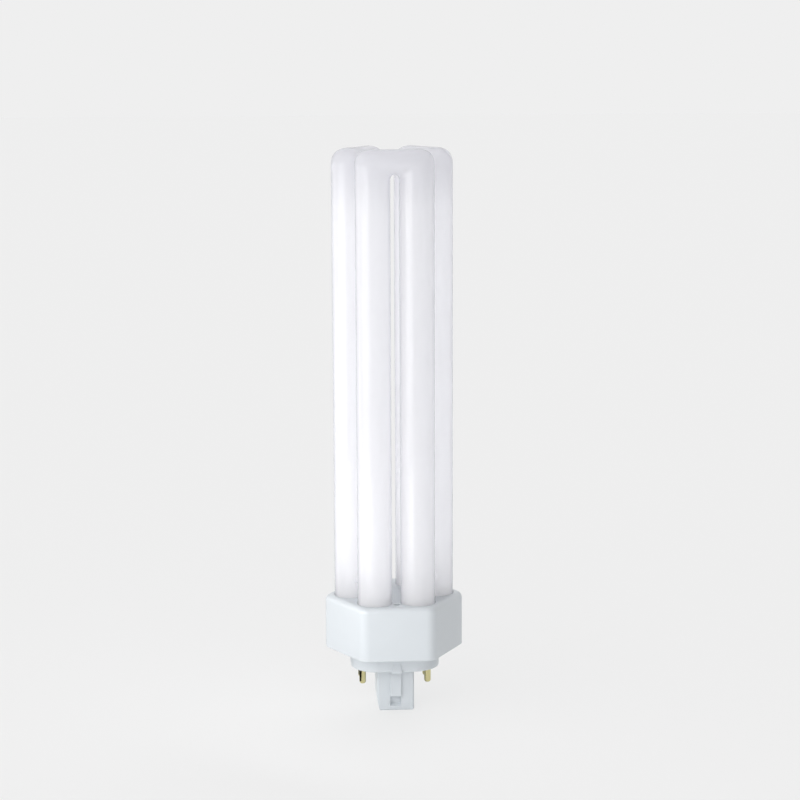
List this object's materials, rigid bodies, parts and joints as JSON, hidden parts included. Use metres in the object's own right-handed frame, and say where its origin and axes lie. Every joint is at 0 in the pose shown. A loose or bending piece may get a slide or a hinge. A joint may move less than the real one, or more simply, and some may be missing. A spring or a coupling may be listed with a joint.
{
  "type": "triple tube compact fluorescent lamp",
  "caption": "Compact fluorescent lamp: bent glass U-tubes stand side by side on a six-sided housing, above a plug-in cap with contact pins and a keyed centre post.",
  "frame": {"origin": "centre of the contact pins' pattern on the cap's seating plane, which is the lower face of the collar", "axes": "+Z along the lamp from the cap to the glass, -Y towards the front tube and the cap's wedge key, +X to the right seen from the front"},
  "size_m": [0.0482, 0.043, 0.1978],
  "materials": {
    "coated_glass": "clear glass over a matte white coating on its inside",
    "white_plastic": "satin moulded",
    "cement": "matte",
    "brass": "bright drawn",
    "wire": "plain"
  },
  "bodies": {
    "root": {"front_u_tube": "coated_glass", "left_u_tube": "coated_glass", "right_u_tube": "coated_glass", "housing_shell": "white_plastic", "fixing_cement": "cement", "cap_base": "white_plastic", "contact_pin_front_left": "brass", "contact_pin_front_right": "brass", "contact_pin_rear_left": "brass", "contact_pin_rear_right": "brass", "lead_wire_front_left": "wire", "lead_wire_front_right": "wire", "lead_wire_rear_left": "wire", "lead_wire_rear_right": "wire"}
  },
  "joints": []
}
